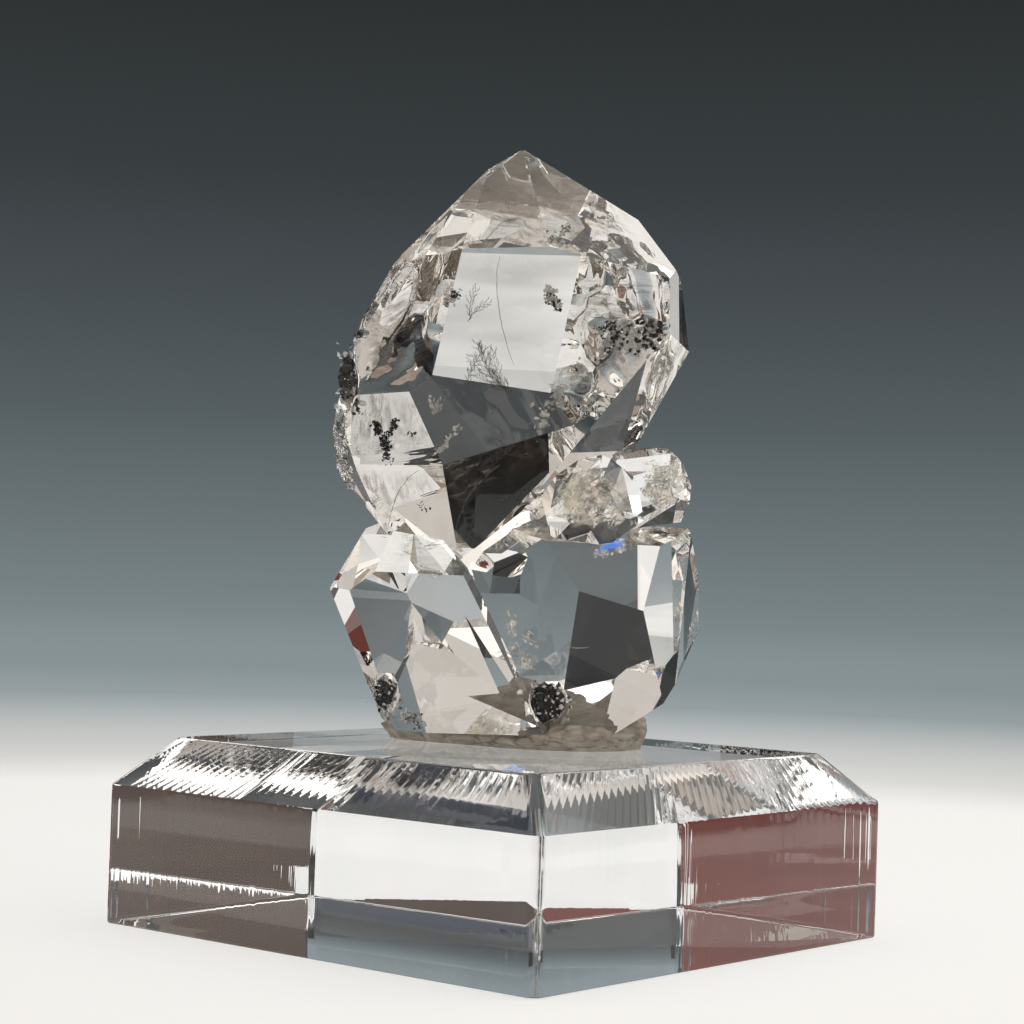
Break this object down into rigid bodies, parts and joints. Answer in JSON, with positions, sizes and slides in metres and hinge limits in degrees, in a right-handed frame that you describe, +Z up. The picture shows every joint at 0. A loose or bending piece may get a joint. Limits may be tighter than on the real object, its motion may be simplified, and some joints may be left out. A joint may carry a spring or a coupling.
{
  "type": "herkimer diamond quartz crystal cluster",
  "caption": "Cluster of clear doubly terminated quartz crystals with black carbon in pits, set in grey putty on a square bevelled clear display block",
  "frame": {"origin": "centre of the display block's underside", "axes": "+Z up; the block's square sides lie along X and Y; the picture looks from heading -50 degrees, between -Y and +X"},
  "size_m": [0.0382, 0.0382, 0.0548],
  "materials": {
    "clear_acrylic": "clear polished acrylic with ground bevel and fine machining lines on its sides",
    "mineral_putty": "matte grey-beige putty, creased",
    "clear_quartz": "water-clear quartz with bright natural facets",
    "black_carbon": "black, partly glossy carbon"
  },
  "bodies": {
    "root": {"display_block": "clear_acrylic", "mounting_putty": "mineral_putty", "crystal_cluster": "clear_quartz", "carbon_front": "black_carbon", "carbon_left_rim": "black_carbon", "carbon_low_left": "black_carbon"}
  },
  "joints": []
}
